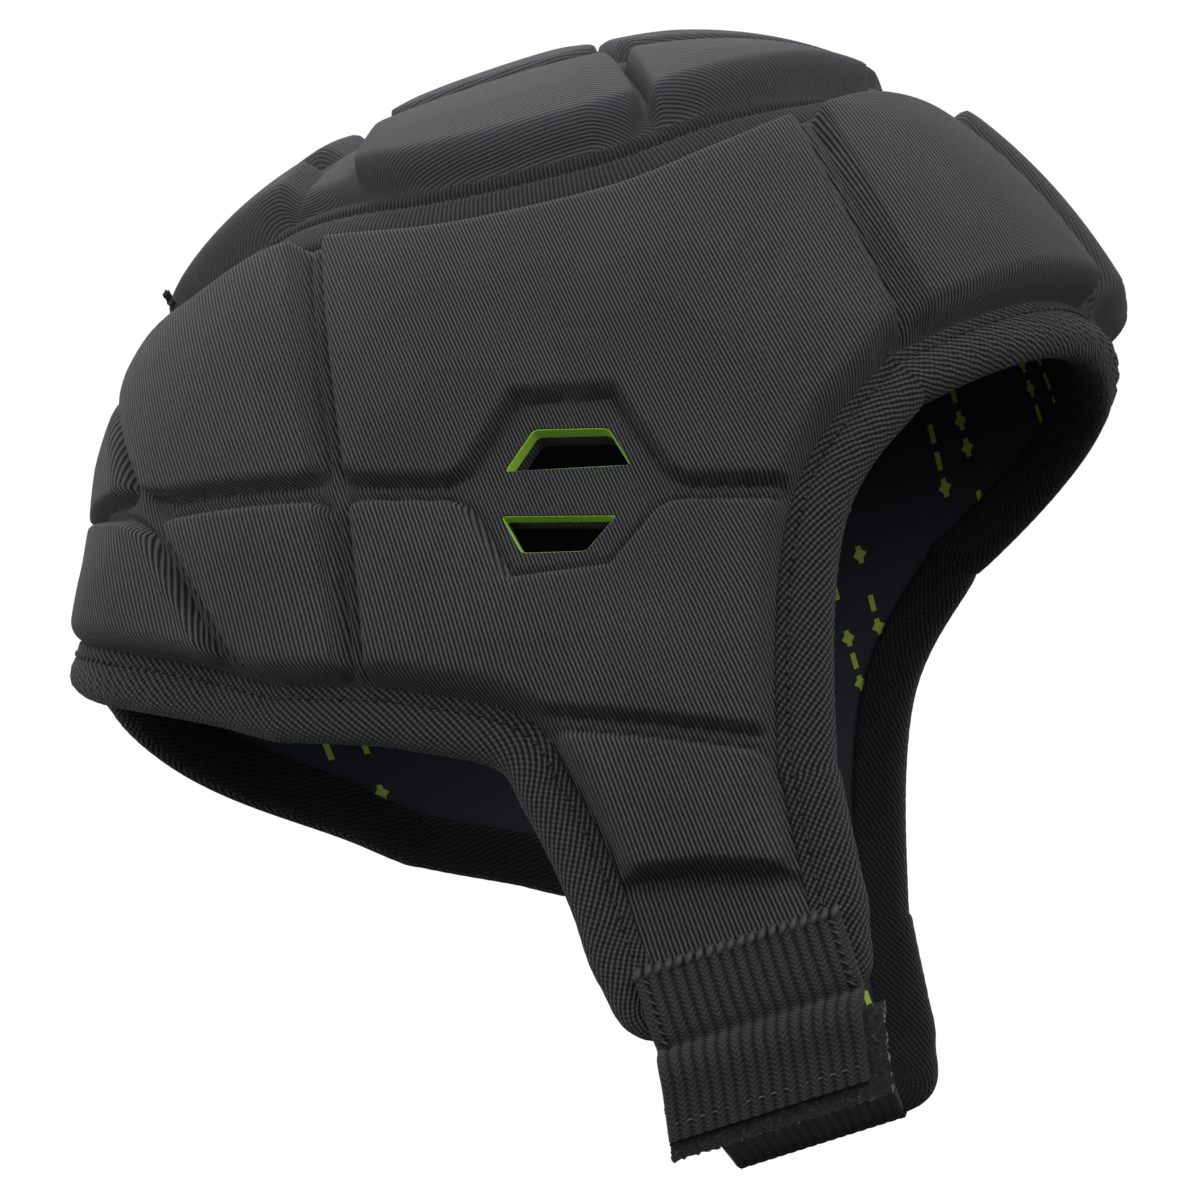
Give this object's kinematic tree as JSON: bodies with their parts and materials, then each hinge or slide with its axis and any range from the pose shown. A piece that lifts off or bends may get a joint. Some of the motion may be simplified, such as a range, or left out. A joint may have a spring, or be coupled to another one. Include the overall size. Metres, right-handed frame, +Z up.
{
  "type": "soft shell helmet",
  "caption": "Padded soft head guard with quilted side and crown pads, cheek flaps, side vents, bound edges and a webbing chin strap.",
  "frame": {"origin": "top of the wearer's head, on the inside of the crown", "axes": "+Z up through the crown, -Y out of the face opening, -X towards the wearer's right"},
  "size_m": [0.1854, 0.2243, 0.2335],
  "materials": {
    "knit": "fine ribbed knit over foam, matt",
    "lining": "smooth printed lining, matt",
    "binding": "woven tape, matt",
    "foam": "closed-cell foam, matt",
    "webbing": "ribbed webbing, slight sheen"
  },
  "bodies": {
    "root": {"side_panel_right": "knit", "side_panel_left": "knit", "lining_right": "lining", "lining_left": "lining", "crown_panel": "knit", "lining_crown": "lining", "vent_liner_upper_right": "foam", "vent_liner_upper_left": "foam", "vent_liner_lower_right": "foam", "vent_liner_lower_left": "foam", "crown_tape_right": "binding", "crown_tape_left": "binding", "edge_binding": "binding", "chin_strap_right": "webbing", "chin_strap_left": "webbing"}
  },
  "joints": []
}
